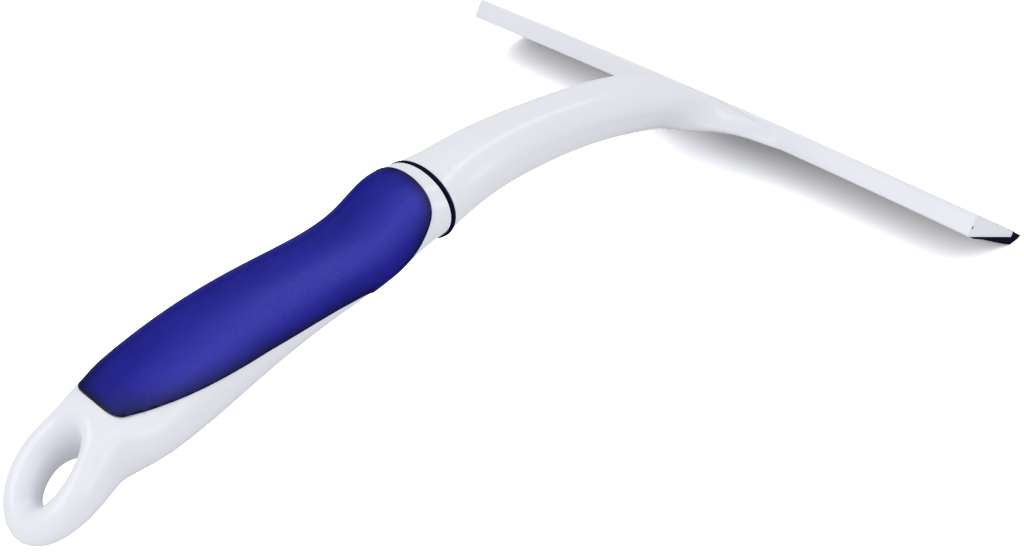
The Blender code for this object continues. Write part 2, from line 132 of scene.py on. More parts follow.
# Wedge section of the blade holder
HEEL = (37.5, 18.1)
RIDGE = (33.4, 24.7)
LIP_TOP = (6.3, 5.1)
LIP_BOTTOM = (7.0, 3.2)
RIDGE_RADIUS = 1.4
HEEL_RADIUS = 0.6
LIP_RADIUS = 0.4
END_ROUNDING = 0.8
END_ROUNDING_ANGLE = 75.0
BAR_SEGMENTS = 32

# Wiper blade. Its nose and the top behind it lie up to 0.4 mm lower than on the solid, so that
# the tip stays hidden behind the far edge of the bar, as in the photograph.
BLADE_START = 33.2
BLADE_START_THICKNESS = 0.4
BLADE_UNDERSIDE = ((27.0, 11.9), (20.7, 8.1), (12.0, 2.8), (6.8, 0.0), (2.0, 0.0))
NOSE = (0.0, 0.5)
NOSE_RADIUS = 0.37
NOSE_TOP = (4.4, 3.7)
NOSE_TOP_RADIUS = 0.6
RIB_BACK = 25.0
RIB_NECK = 2.0
RIB_HEAD = 3.4
RIB_NECK_HEIGHT = 1.2
RIB_HEAD_HEIGHT = 1.4
RIB_ROOT = 0.6
GROOVE_ROOT = 1.0
RIB_END_MARGIN = 6.0

# Gate mark in one end face of the holder
GATE_RADIUS = 0.6
GATE_DEPTH = 0.8
GATE_SPOT = (34.9, 20.4)

# Joint between the neck and the handle
JOINT_BACK = 170.5
JOINT_UP = 42.4
JOINT_LEAN = math.radians(5.6)
RING_THICKNESS = 1.4
RING_PROUD = 0.35
RING_DROP = 0.35
RING_EDGE = 0.3
RING_EDGE_ANGLE = 60.0
SPIGOT = (9.4, 5.6)
SPIGOT_LENGTH = 20.0
SPIGOT_ROOT = 4.0
SPIGOT_SLOPE = math.radians(12.0)
JOINT_SECTION = (15.9, 11.0)

# Stations of the neck from the joint to the bar: back, up, half width, half height
NECK = (
    (160.3, 43.4, 13.8, 10.5),
    (146.3, 45.3, 12.4, 10.5),
    (128.3, 45.0, 11.1, 10.5),
    (110.3, 43.4, 10.5, 10.1),
    (92.3, 41.0, 10.9, 9.9),
    (74.3, 36.8, 11.4, 10.0),
)

# Stations of the flare in planes along the holder's back face: distance behind that face, lean,
# top and bottom, then sideways reach and height of the crown's edge, the flank and the lower edge.
# Heights run up the back face from the heel.
FLARE = (
    (26.9, 24.0, 8.9, -9.2, 9.9, 4.6, 11.4, 0.0, 9.9, -4.7),
    (18.7, 31.8, 8.0, -8.3, 9.9, 3.6, 11.9, -1.0, 12.0, -5.2),
    (12.0, 31.8, 7.5, -7.4, 9.1, 5.0, 12.4, 0.6, 14.6, -3.4),
    (7.0, 31.8, 7.4, -5.9, 8.3, 6.0, 13.4, 2.0, 17.0, -1.9),
    (3.8, 31.8, 7.5, -4.0, 7.7, 6.6, 15.6, 3.4, 20.0, -1.3),
    (1.6, 31.8, 7.5, -2.2, 7.2, 6.9, 18.8, 4.6, 24.0, -0.6),
    (0.5, 31.8, 7.5, -0.9, 7.2, 6.7, 24.0, 4.8, 30.0, -0.2),
    (-0.4, 31.8, 7.3, 0.1, 7.0, 6.4, 35.0, 4.6, 44.0, 0.3),
    (-3.6, 31.8, 6.6, 1.2, 7.0, 6.0, 33.0, 4.4, 41.0, 1.2),
)

# Stations of the handle from the collar to the loop: back, up, half width, half height
HANDLE = (
    (180.3, 42.4, 15.6, 12.8),
    (191.2, 36.9, 15.2, 10.7),
    (204.3, 34.5, 15.0, 11.1),
    (216.2, 33.6, 14.8, 12.0),
    (232.2, 32.3, 16.0, 13.3),
    (248.2, 29.9, 17.4, 14.1),
    (262.2, 26.6, 18.4, 14.4),
    (276.2, 23.2, 18.5, 13.7),
    (283.4, 21.4, 18.0, 12.3),
)

# Hang loop: an oval ring, tilted down to the rear, arched, and deeper at its front than its rear.
# Each oval has its place ahead of the loop's centre, half width and half length. The sweep takes
# the underside of the loop's front to the rear.
LOOP_BACK = 303.2
LOOP_UP = 11.5
LOOP_TILT = math.radians(32.4)
LOOP_ARCH = 2.4
LOOP_OUTER = (1.5, 16.2, 20.1)
LOOP_HOLE = (2.6, 5.4, 10.0)
LOOP_DEPTH_FRONT = 9.6
LOOP_DEPTH_SIDE = 6.4
LOOP_DEPTH_REAR = 4.6
LOOP_SWEEP = 7.6
LOOP_SECTORS = 8

# Grip panel, seen from the side: back, up and corner radius
GRIP_OUTLINE = (
    (290.4, 64.0, 0.0),
    (289.3, 31.4, 3.0),
    (276.2, 32.0, 20.0),
    (242.2, 32.5, 60.0),
    (214.2, 31.6, 20.0),
    (203.0, 31.0, 8.0),
    (197.0, 25.0, 4.0),
    (184.7, 37.5, 30.0),
    (176.5, 48.8, 20.0),
    (173.3, 64.8, 0.0),
)
GRIP_THICKNESS = 2.4
GRIP_PROUD = 0.4
GRIP_SIDE_REACH = 30.0

# Fineness of the forms. A ring's shoulders lie at the share of its reach and rise that makes them
# round, and a square of four cage corners softens to a round bead of two thirds of its size.
NECK_POINTS = 12
HANDLE_POINTS = 8
SHOULDER_REACH = 0.577
SHOULDER_RISE = 0.732
BEAD_SWELL = 1.5
CAGE_ROUNDS = 20
SOFT_LEVELS = 3
ARC_STEPS = 8
PEG_SEGMENTS = 64
RING_SEGMENTS = 96
GATE_SEGMENTS = 24
BEVEL_SEGMENTS = 2
SHARP_ANGLE = 38.0
MERGE_DISTANCE = 0.00001
NO_LENGTH = 1e-9

# Values stored on the surfaces for their materials. The grip's painted highlight band, which also
# raises its gloss, is greatest where the grip leans to its +X side by the lean below in degrees,
# and ends the spread below in degrees away from there.
GRIP_EDGE_LENGTH = 1.6
SPLIT_ROUNDS = 3
# How far in from the panel's border the painted rim shade reaches, and how it fades
RIM_REACH = 5.0
RIM_FALLOFF = 1.5
HIGHLIGHT_BAND_LEAN = 39.0
HIGHLIGHT_BAND_SPREAD = 82.0
PIT_MARGIN = 1.02


def place(x, back, up):
    """World point of a position given in the squeegee's own terms."""
    return Vector((x, CENTRE_BACK - back, up)) * MM


def add_object(name, data, collection):
    """An object of finished data, in a collection."""
    item = bpy.data.objects.new(name, data)
    collection.objects.link(item)
    return item


def mesh_object(name, points, faces, collection):
    """An object from corner points in metres and faces."""
    mesh = bpy.data.meshes.new(name)
    mesh.from_pydata([tuple(point) for point in points], [], faces)
    body = bmesh.new()
    body.from_mesh(mesh)
    bmesh.ops.recalc_face_normals(body, faces=body.faces)
    body.to_mesh(mesh)
    body.free()
    return add_object(name, mesh, collection)


def crease_ring(item, ring):
    """Keep the edges of one closed ring of corner numbers sharp when it is softened."""
    pairs = {frozenset((ring[i], ring[(i + 1) % len(ring)])) for i in range(len(ring))}
    layer = item.data.attributes.new("crease_edge", "FLOAT", "EDGE")
    for edge in item.data.edges:
        if frozenset(edge.vertices) in pairs:
            layer.data[edge.index].value = 1.0


def soften(item):
    """Round a coarse cage into a smooth form."""
    modifier = item.modifiers.new("soft", "SUBSURF")
    modifier.levels = SOFT_LEVELS
    modifier.render_levels = SOFT_LEVELS


def combine(item, other, operation):
    """Cut, join or intersect one body with another one."""
    modifier = item.modifiers.new(other.name, "BOOLEAN")
    modifier.operation = operation
    modifier.solver = "EXACT"
    modifier.object = other


def rounded(outline):
    """Replace the corners of a closed outline of (back, up, radius) by arcs."""
    result = []
    count = len(outline)
    for i in range(count):
        corner = Vector(outline[i][:2])
        radius = outline[i][2]
        if radius == 0.0:
            result.append(tuple(corner))
            continue
        before = (Vector(outline[i - 1][:2]) - corner).normalized()
        after = (Vector(outline[(i + 1) % count][:2]) - corner).normalized()
        half = before.angle(after) / 2
        centre = corner + (before + after).normalized() * radius / math.sin(half)
        first = corner + before * radius / math.tan(half) - centre
        last = corner + after * radius / math.tan(half) - centre
        sweep = first.angle_signed(last)
        for step in range(ARC_STEPS + 1):
            turn = Matrix.Rotation(-sweep * step / ARC_STEPS, 2)
            result.append(tuple(centre + turn @ first))
    return result


def grown(outline, distance):
    """Move the sides of an outline of (back, up, radius) outward by one distance."""
    count = len(outline)
    area = sum(
        outline[i][0] * outline[(i + 1) % count][1] - outline[(i + 1) % count][0] * outline[i][1]
        for i in range(count)
    )
    side = math.copysign(1.0, area)
    result = []
    for i in range(count):
        corner = Vector(outline[i][:2])
        before = (corner - Vector(outline[i - 1][:2])).normalized()
        after = (Vector(outline[(i + 1) % count][:2]) - corner).normalized()
        normal = (Vector((before.y, -before.x)) + Vector((after.y, -after.x))).normalized()
        reach = distance / normal.dot(Vector((before.y, -before.x)))
        moved = corner + normal * reach * side
        result.append((moved.x, moved.y, outline[i][2]))
    return result


def prism(name, outline, half_width, collection):
    """A body of one side outline of (back, up) points, reaching half_width to each side."""
    curve = bpy.data.curves.new(name, "CURVE")
    curve.dimensions = "2D"
    curve.fill_mode = "BOTH"
    curve.extrude = half_width * MM
    spline = curve.splines.new("POLY")
    spline.points.add(len(outline) - 1)
    for point, (back, up) in zip(spline.points, outline):
        spot = place(0.0, back, up)
        point.co = (spot.y, spot.z, 0.0, 1.0)
    spline.use_cyclic_u = True
    flat = bpy.data.objects.new(name, curve)
    bpy.context.scene.collection.objects.link(flat)
    bpy.context.view_layer.update()
    evaluated = flat.evaluated_get(bpy.context.evaluated_depsgraph_get())
    mesh = bpy.data.meshes.new_from_object(evaluated)
    mesh.name = name
    bpy.data.objects.remove(flat, do_unlink=True)
    side_view = Matrix(((0, 0, 1, 0), (1, 0, 0, 0), (0, 1, 0, 0), (0, 0, 0, 1)))
    mesh.transform(side_view)
    body = bmesh.new()
    body.from_mesh(mesh)
    bmesh.ops.remove_doubles(body, verts=body.verts, dist=MERGE_DISTANCE)
    bmesh.ops.recalc_face_normals(body, faces=body.faces)
    body.to_mesh(mesh)
    body.free()
    return add_object(name, mesh, collection)


def bow(item):
    """Slice a straight bar across and sweep its ends back along a shallow bow."""
    body = bmesh.new()
    body.from_mesh(item.data)
    half = BAR_WIDTH / 2 * MM
    for step in range(1, BAR_SEGMENTS):
        cut = -half + 2 * half * step / BAR_SEGMENTS
        everything = body.verts[:] + body.edges[:] + body.faces[:]
        bmesh.ops.bisect_plane(body, geom=everything, plane_co=(cut, 0, 0), plane_no=(1, 0, 0))
    for corner in body.verts:
        corner.co.y -= BAR_BOW * MM * (corner.co.x / half) ** 2
    body.to_mesh(item.data)
    body.free()


def bevel(item, width, angle):
    """Round the edges that are sharper than the angle."""
    modifier = item.modifiers.new("bevel", "BEVEL")
    modifier.width = width * MM
    modifier.segments = BEVEL_SEGMENTS
    modifier.limit_method = "ANGLE"
    modifier.angle_limit = math.radians(angle)


def underside(back):
    """Height of the holder's underside."""
    slope = (HEEL[1] - LIP_BOTTOM[1]) / (HEEL[0] - LIP_BOTTOM[0])
    return LIP_BOTTOM[1] + slope * (back - LIP_BOTTOM[0])


def rib_outline(growth, root):
    """T-shaped rib square to the underside, from root below it to its head."""
    foot = Vector((RIB_BACK, underside(RIB_BACK)))
    along = Vector((HEEL[0] - LIP_BOTTOM[0], HEEL[1] - LIP_BOTTOM[1])).normalized()
    inward = Vector((-along.y, along.x))
    neck = RIB_NECK / 2 + growth
    head = RIB_HEAD / 2 + growth
    shoulder = RIB_NECK_HEIGHT - growth
    crown = RIB_NECK_HEIGHT + RIB_HEAD_HEIGHT + growth
    steps = (
        (-neck, -root),
        (neck, -root),
        (neck, shoulder),
        (head, shoulder),
        (head, crown),
        (-head, crown),
        (-head, shoulder),
        (-neck, shoulder),
    )
    return [tuple(foot + along * a + inward * b) for a, b in steps]


def oval_ring(centre, across, rise, half_width, half_height, count):
    """Cage ring whose softened form is an ellipse of the given half sizes."""
    shrink = (4 + 2 * math.cos(2 * math.pi / count)) / 6
    points = []
    for i in range(count):
        angle = 2 * math.pi * i / count
        sideways = across * math.cos(angle) * half_width / shrink
        points.append(centre + (sideways + rise * math.sin(angle) * half_height / shrink) * MM)
    return points


def station_rings(stations, first_slope, inset, count):
    """Oval rings square to the line through a row of stations."""
    rings = []
    for i, (back, up, half_width, half_height) in enumerate(stations):
        before = stations[max(i - 1, 0)]
        after = stations[min(i + 1, len(stations) - 1)]
        slope = math.atan((before[1] - after[1]) / (after[0] - before[0]))
        if i == 0:
            slope = first_slope
        rise = Vector((0.0, -math.sin(slope), math.cos(slope)))
        width = half_width - inset
        height = half_height - inset
        rings.append(oval_ring(place(0.0, back, up), Vector((1, 0, 0)), rise, width, height, count))
    return rings


def joint_point(along, slope):
    """Point on a line through the joint that falls towards the handle by the slope."""
    back = JOINT_BACK + along * math.cos(slope)
    return back, JOINT_UP - along * math.sin(slope)


def joint_matrix(along, slope):
    """Frame on such a line with its Z axis pointing towards the bar."""
    turn = Matrix.Rotation(-math.pi / 2 + slope, 4, "X")
    return Matrix.Translation(place(0.0, *joint_point(along, slope))) @ turn


def passing_cage(targets):
    """Closed cage whose softened form passes through the target points."""
    cage = list(targets)
    count = len(cage)
    for _ in range(CAGE_ROUNDS):
        for i in range(count):
            cage[i] = (6 * targets[i] - cage[i - 1] - cage[(i + 1) % count]) / 4
    return cage


def flare_ring(offset, lean, top, bottom, crown_x, crown_t, flank_x, flank_t, edge_x, edge_t):
    """Ring behind the holder's back face: a crown, a flank at each side and an underside."""
    face = Vector((RIDGE[0] - HEEL[0], RIDGE[1] - HEEL[1])).normalized()
    foot = Vector(HEEL) + Vector((face.y, -face.x)) * offset
    rise = Vector((-math.sin(math.radians(lean)), math.cos(math.radians(lean))))
    over = crown_t + (top - crown_t) * SHOULDER_RISE
    under = edge_t + (bottom - edge_t) * SHOULDER_RISE
    right = [
        (0.0, bottom),
        (edge_x * SHOULDER_REACH, under),
        (edge_x, edge_t),
        (flank_x, flank_t),
        (crown_x, crown_t),
        (crown_x * SHOULDER_REACH, over),
        (0.0, top),
    ]
    left = [(-x, t) for x, t in right[-2:0:-1]]
    outline = right[3:] + left + right[:3]
    return passing_cage([place(x, *(foot + rise * t)) for x, t in outline])


def stitch(rings):
    """Corner points and side faces of a row of equal rings."""
    count = len(rings[0])
    points = [point for ring in rings for point in ring]
    faces = []
    for r in range(len(rings) - 1):
        for i in range(count):
            j = (i + 1) % count
            faces.append((r * count + i, r * count + j, (r + 1) * count + j, (r + 1) * count + i))
    return points, faces


def neck_form(cutters):
    """Arched neck that spreads into the bar, as a soft body with a flat joint face."""
    face_back, face_up = joint_point(-RING_THICKNESS / 2 - GAP, -JOINT_LEAN)
    stations = ((face_back, face_up, *JOINT_SECTION),) + NECK
    rings = station_rings(stations, -JOINT_LEAN, 0.0, NECK_POINTS)
    rings += [flare_ring(*station) for station in FLARE]
    points, faces = stitch(rings)
    last = len(points) - NECK_POINTS
    faces.append(tuple(range(NECK_POINTS)))
    faces.append(tuple(range(last, last + NECK_POINTS)))
    neck = mesh_object("neck_form", points, faces, cutters)
    crease_ring(neck, list(range(NECK_POINTS)))
    soften(neck)
    return neck


def oval_bar(name, half_sizes, length, segments, matrix, collection, shift=0.0):
    """Straight bar of oval section along a frame's Z axis, shifted along the frame's Y axis."""
    mesh = bpy.data.meshes.new(name)
    body = bmesh.new()
    bmesh.ops.create_cone(
        body,
        cap_ends=True,
        segments=segments,
        radius1=1.0,
        radius2=1.0,
        depth=length * MM,
    )
    bmesh.ops.scale(body, vec=(half_sizes[0] * MM, half_sizes[1] * MM, 1.0), verts=body.verts)
    bmesh.ops.translate(body, vec=(0.0, shift * MM, 0.0), verts=body.verts)
    bmesh.ops.transform(body, matrix=matrix, verts=body.verts)
    body.to_mesh(mesh)
    body.free()
    return add_object(name, mesh, collection)


def oval_peg(name, half_sizes, start, end, collection):
    """Straight peg of oval section through the joint, on the spigot's axis."""
    matrix = joint_matrix((start + end) / 2, SPIGOT_SLOPE)
    return oval_bar(name, half_sizes, end - start, PEG_SEGMENTS, matrix, collection)


def build_head(parts, cutters):
    """Blade holder, neck and spigot in one moulding."""
    holder = (
        (*HEEL, HEEL_RADIUS),
        (*RIDGE, RIDGE_RADIUS),
        (*LIP_TOP, LIP_RADIUS),
        (*LIP_BOTTOM, LIP_RADIUS),
    )
    head = prism("head_shell", rounded(holder), BAR_WIDTH / 2, parts)
    bow(head)
    bevel(head, END_ROUNDING, END_ROUNDING_ANGLE)
    combine(head, neck_form(cutters), "UNION")
    spigot_start = -RING_THICKNESS / 2 - GAP - SPIGOT_ROOT
    spigot_end = RING_THICKNESS / 2 + GAP + SPIGOT_LENGTH
    combine(head, oval_peg("spigot_form", SPIGOT, spigot_start, spigot_end, cutters), "UNION")
    groove_half = BAR_WIDTH / 2 - RIB_END_MARGIN
    groove = prism("groove_cutter", rib_outline(GAP, GROOVE_ROOT), groove_half, cutters)
    bow(groove)
    combine(head, groove, "DIFFERENCE")
    combine(head, gate_cutter(cutters), "DIFFERENCE")
    return head


def gate_spot():
    """Middle of the gate mark, on the holder's end face."""
    return place(BAR_WIDTH / 2, GATE_SPOT[0] + BAR_BOW, GATE_SPOT[1])


def gate_cutter(cutters):
    """Small blind hole in one end face of the holder."""
    matrix = Matrix.Translation(gate_spot()) @ Matrix.Rotation(math.pi / 2, 4, "Y")
    sizes = (GATE_RADIUS, GATE_RADIUS)
    return oval_bar("gate_cutter", sizes, 2 * GATE_DEPTH, GATE_SEGMENTS, matrix, cutters)


def build_blade(parts, cutters):
    """Rubber wiper: a wedge under the holder with a lip round its front and a rib on top."""
    along = Vector((HEEL[0] - LIP_BOTTOM[0], HEEL[1] - LIP_BOTTOM[1])).normalized()
    drop = GAP / along.x
    start = underside(BLADE_START) - drop
    outline = [(BLADE_START, start, 0.0), (BLADE_START, start - BLADE_START_THICKNESS, 0.0)]
    outline += [(back, up, 0.0) for back, up in BLADE_UNDERSIDE]
    outline += [(*NOSE, NOSE_RADIUS), (*NOSE_TOP, NOSE_TOP_RADIUS)]
    outline += [(LIP_TOP[0] - GAP, LIP_TOP[1], 0.0)]
    corner = LIP_BOTTOM[0] - GAP
    outline += [(corner, underside(corner) - drop, 0.0)]
    blade = prism("blade_rubber", rounded(outline), BAR_WIDTH / 2, parts)
    bow(blade)
    rib_half = BAR_WIDTH / 2 - RIB_END_MARGIN - GAP
    rib = prism("rib_form", rib_outline(0.0, GAP + RIB_ROOT), rib_half, cutters)
    bow(rib)
    combine(blade, rib, "UNION")
    return blade


def loop_points(inset):
    """Cage of the hang loop: outer, top, inner and bottom corners of every sector."""
    shrink = (4 + 2 * math.cos(2 * math.pi / LOOP_SECTORS)) / 6
    ahead = Vector((0.0, math.cos(LOOP_TILT), math.sin(LOOP_TILT)))
    rise = Vector((0.0, -math.sin(LOOP_TILT), math.cos(LOOP_TILT)))
    centre = place(0.0, LOOP_BACK, LOOP_UP)

    def oval_point(oval, growth, angle):
        start, half_width, half_length = oval
        across = math.sin(angle) * (half_width + growth) / shrink
        along = math.cos(angle) * (half_length + growth) / shrink
        return Vector((across, 0.0, 0.0)) + ahead * (start + along)

    sectors = []
    for k in range(LOOP_SECTORS):
        angle = 2 * math.pi * k / LOOP_SECTORS
        arch = rise * math.sin(angle) ** 2 * LOOP_ARCH
        rim = oval_point(LOOP_OUTER, -inset, angle)
        hole = oval_point(LOOP_HOLE, inset, angle)
        middle = (rim + hole) / 2
        front = max(0.0, math.cos(angle))
        rear = max(0.0, -math.cos(angle))
        depth = LOOP_DEPTH_FRONT * front + LOOP_DEPTH_REAR * rear
        depth = (depth + LOOP_DEPTH_SIDE * (1 - front - rear) - inset) * BEAD_SWELL
        outer = centre + (middle + (rim - middle) * BEAD_SWELL + arch) * MM
        top = centre + (middle + rise * depth + arch) * MM
        inner = centre + (middle + (hole - middle) * BEAD_SWELL + arch) * MM
        bottom = centre + (middle - rise * depth + arch - ahead * LOOP_SWEEP * front) * MM
        sectors.append((outer, top, inner, bottom))
    return sectors


def handle_form(name, inset, collection):
    """Handle with its hang loop as one soft body, shrunk inward by the inset."""
    face_back, face_up = joint_point(RING_THICKNESS / 2 + GAP, -JOINT_LEAN)
    stations = ((face_back, face_up, *JOINT_SECTION),) + HANDLE
    rings = station_rings(stations, -JOINT_LEAN, inset, HANDLE_POINTS)
    points, faces = stitch(rings)
    faces.append(tuple(range(HANDLE_POINTS)))
    tail = len(points) - HANDLE_POINTS
    base = len(points)
    for sector in loop_points(inset):
        points += sector

    def spot(sector, corner):
        return base + (sector % LOOP_SECTORS) * 4 + corner

    outer, top, inner, bottom = range(4)
    last = LOOP_SECTORS - 1
    landing = (
        spot(1, outer),
        spot(1, top),
        spot(0, top),
        spot(last, top),
        spot(last, outer),
        spot(last, bottom),
        spot(0, bottom),
        spot(1, bottom),
    )
    for i in range(HANDLE_POINTS):
        j = (i + 1) % HANDLE_POINTS
        faces.append((tail + i, tail + j, landing[j], landing[i]))
    for k in range(LOOP_SECTORS):
        faces.append((spot(k, top), spot(k + 1, top), spot(k + 1, inner), spot(k, inner)))
        faces.append((spot(k, inner), spot(k + 1, inner), spot(k + 1, bottom), spot(k, bottom)))
        if 1 <= k < last:
            faces.append((spot(k, outer), spot(k + 1, outer), spot(k + 1, top), spot(k, top)))
            faces.append((spot(k, bottom), spot(k + 1, bottom), spot(k + 1, outer), spot(k, outer)))
    used = sorted({corner for face in faces for corner in face})
    number = {corner: index for index, corner in enumerate(used)}
    kept = [points[corner] for corner in used]
    faces = [tuple(number[corner] for corner in face) for face in faces]
    form = mesh_object(name, kept, faces, collection)
    crease_ring(form, list(range(HANDLE_POINTS)))
    soften(form)
    return form


def build_handle(parts, cutters):
    """Grip core, collar, socket and hang loop in one moulding."""
    handle = handle_form("handle_shell", 0.0, parts)
    recess_outline = rounded(grown(GRIP_OUTLINE, GAP))
    recess = prism("recess_cutter", recess_outline, GRIP_SIDE_REACH, cutters)
    combine(recess, handle_form("recess_floor", GRIP_THICKNESS, cutters), "DIFFERENCE")
    combine(handle, recess, "DIFFERENCE")
    socket = (SPIGOT[0] + GAP, SPIGOT[1] + GAP)
    mouth = -SPIGOT_ROOT
    floor = RING_THICKNESS / 2 + 2 * GAP + SPIGOT_LENGTH
    combine(handle, oval_peg("socket_cutter", socket, mouth, floor, cutters), "DIFFERENCE")
    return handle


def build_grip(parts, cutters):
    """Soft panel over the top and sides of the handle."""
    grip = prism("grip_skin", rounded(GRIP_OUTLINE), GRIP_SIDE_REACH, parts)
    combine(grip, handle_form("grip_outside", -GRIP_PROUD, cutters), "INTERSECT")
    combine(grip, handle_form("grip_lining", GRIP_THICKNESS - GAP, cutters), "DIFFERENCE")
    return grip


def build_joint_ring(parts, cutters):
    """Flat oval ring between the neck and the collar, a little proud of both."""
    half_width = JOINT_SECTION[0] + RING_PROUD
    half_height = JOINT_SECTION[1] + RING_PROUD + RING_DROP
    sizes = (half_width, half_height)
    matrix = joint_matrix(0.0, -JOINT_LEAN)
    ring = oval_bar("ring_rubber", sizes, RING_THICKNESS, RING_SEGMENTS, matrix, parts, RING_DROP)
    bevel(ring, RING_EDGE, RING_EDGE_ANGLE)
    hole = (SPIGOT[0] + GAP, SPIGOT[1] + GAP)
    combine(ring, oval_peg("ring_cutter", hole, -SPIGOT_ROOT, SPIGOT_ROOT, cutters), "DIFFERENCE")
    return ring


def freeze(item):
    """Turn the modifiers into one mesh, smooth but for its sharp edges."""
    graph = bpy.context.evaluated_depsgraph_get()
    mesh = bpy.data.meshes.new_from_object(item.evaluated_get(graph))
    item.modifiers.clear()
    item.data = mesh
    mesh.materials.clear()
    mesh.shade_smooth()
    mesh.set_sharp_from_angle(angle=math.radians(SHARP_ANGLE))


def keep_inside(item, box):
    """Hold the finer surface within the frame's box."""
    low, high = box
    for corner in item.data.vertices:
        for axis in range(3):
            corner.co[axis] = min(max(corner.co[axis], low[axis]), high[axis])


def new_material(name):
    """A material with its node tree, its shader and the object's own coordinates."""
    material = bpy.data.materials.new(name)
    material.use_nodes = True
    tree = material.node_tree
    shader = tree.nodes["Principled BSDF"]
    coordinates = tree.nodes.new("ShaderNodeTexCoord")
    return material, tree, shader, coordinates.outputs["Object"]


def noise(tree, where, size, detail, stretch=(1.0, 1.0, 1.0)):
    """Noise whose blotches are about the given size in millimetres."""
    mapping = tree.nodes.new("ShaderNodeMapping")
    mapping.inputs["Scale"].default_value = stretch
    tree.links.new(where, mapping.inputs["Vector"])
    texture = tree.nodes.new("ShaderNodeTexNoise")
    texture.inputs["Scale"].default_value = 1.0 / (size * MM)
    texture.inputs["Detail"].default_value = detail
    tree.links.new(mapping.outputs["Vector"], texture.inputs["Vector"])
    return texture.outputs["Fac"]


def spread(tree, value, low, high, source_low=0.3, source_high=0.7):
    """Map a value to a range. Most noise lies between 0.3 and 0.7."""
    node = tree.nodes.new("ShaderNodeMapRange")
    node.inputs["From Min"].default_value = source_low
    node.inputs["From Max"].default_value = source_high
    node.inputs["To Min"].default_value = low
    node.inputs["To Max"].default_value = high
    tree.links.new(value, node.inputs["Value"])
    return node.outputs["Result"]


def blend_colours(tree, factor, first, second):
    """Blend two colours, each a socket or a tuple."""
    node = tree.nodes.new("ShaderNodeMix")
    node.data_type = "RGBA"
    for socket, colour in ((6, first), (7, second)):
        if isinstance(colour, tuple):
            node.inputs[socket].default_value = (*colour, 1.0)
        else:
            tree.links.new(colour, node.inputs[socket])
    tree.links.new(factor, node.inputs[0])
    return node.outputs[2]


def shades(tree, value, pair):
    """Colour between the two shades of a pair, by a noise value."""
    return blend_colours(tree, spread(tree, value, 0.0, 1.0), *pair)


def calculate(tree, operation, first, second):
    """Result of an operation on two values, each a socket or a number."""
    node = tree.nodes.new("ShaderNodeMath")
    node.operation = operation
    for socket, value in zip(node.inputs, (first, second)):
        if isinstance(value, float):
            socket.default_value = value
        else:
            tree.links.new(value, socket)
    return node.outputs[0]


def stored(tree, name):
    """Value stored on the surface under that name."""
    node = tree.nodes.new("ShaderNodeAttribute")
    node.attribute_name = name
    return node.outputs["Fac"]


def gloss_fading_at_edges(tree, seen_flat, seen_edge_on):
    """Gloss of rubber, which doesn't mirror much where it is seen edge-on."""
    weight = tree.nodes.new("ShaderNodeLayerWeight")
    weight.inputs["Blend"].default_value = 0.5
    facing = weight.outputs["Facing"]
    return spread(tree, facing, seen_flat, seen_edge_on, source_low=0.15, source_high=0.6)


def add_bump(tree, shader, heights):
    """Chain bumps of (height, depth in millimetres, strength) into the shader's normal."""
    normal = None
    for height, depth, strength in heights:
        bump = tree.nodes.new("ShaderNodeBump")
        bump.inputs["Distance"].default_value = depth * MM
        bump.inputs["Strength"].default_value = strength
        tree.links.new(height, bump.inputs["Height"])
        if normal is not None:
            tree.links.new(normal, bump.inputs["Normal"])
        normal = bump.outputs["Normal"]
    tree.links.new(normal, shader.inputs["Normal"])


def white_plastic():
    """Glossy white moulding with a trace of lavender, faint flow, fine handling marks and painted
    shade in the gate mark's hole.
    """
    material, tree, shader, where = new_material("white_plastic")
    flow = noise(tree, where, size=60.0, detail=1.0, stretch=(1.0, 0.4, 1.0))
    unshaded = shades(tree, flow, WHITE_SHADES)
    # Painted shade darkens the faces lining the gate mark's hole
    colour = blend_colours(tree, stored(tree, "pit_shade"), unshaded, PIT_SHADE_COLOUR)
    tree.links.new(colour, shader.inputs["Base Color"])
    marks = noise(tree, where, size=12.0, detail=2.0, stretch=(1.0, 0.25, 1.0))
    tree.links.new(spread(tree, marks, low=0.20, high=0.24), shader.inputs["Roughness"])
    shader.inputs["Specular IOR Level"].default_value = 0.5
    grain = noise(tree, where, size=0.4, detail=1.0)
    sink = noise(tree, where, size=25.0, detail=1.0)
    add_bump(tree, shader, ((sink, 0.2, 0.05), (grain, 0.004, 0.05)))
    return material


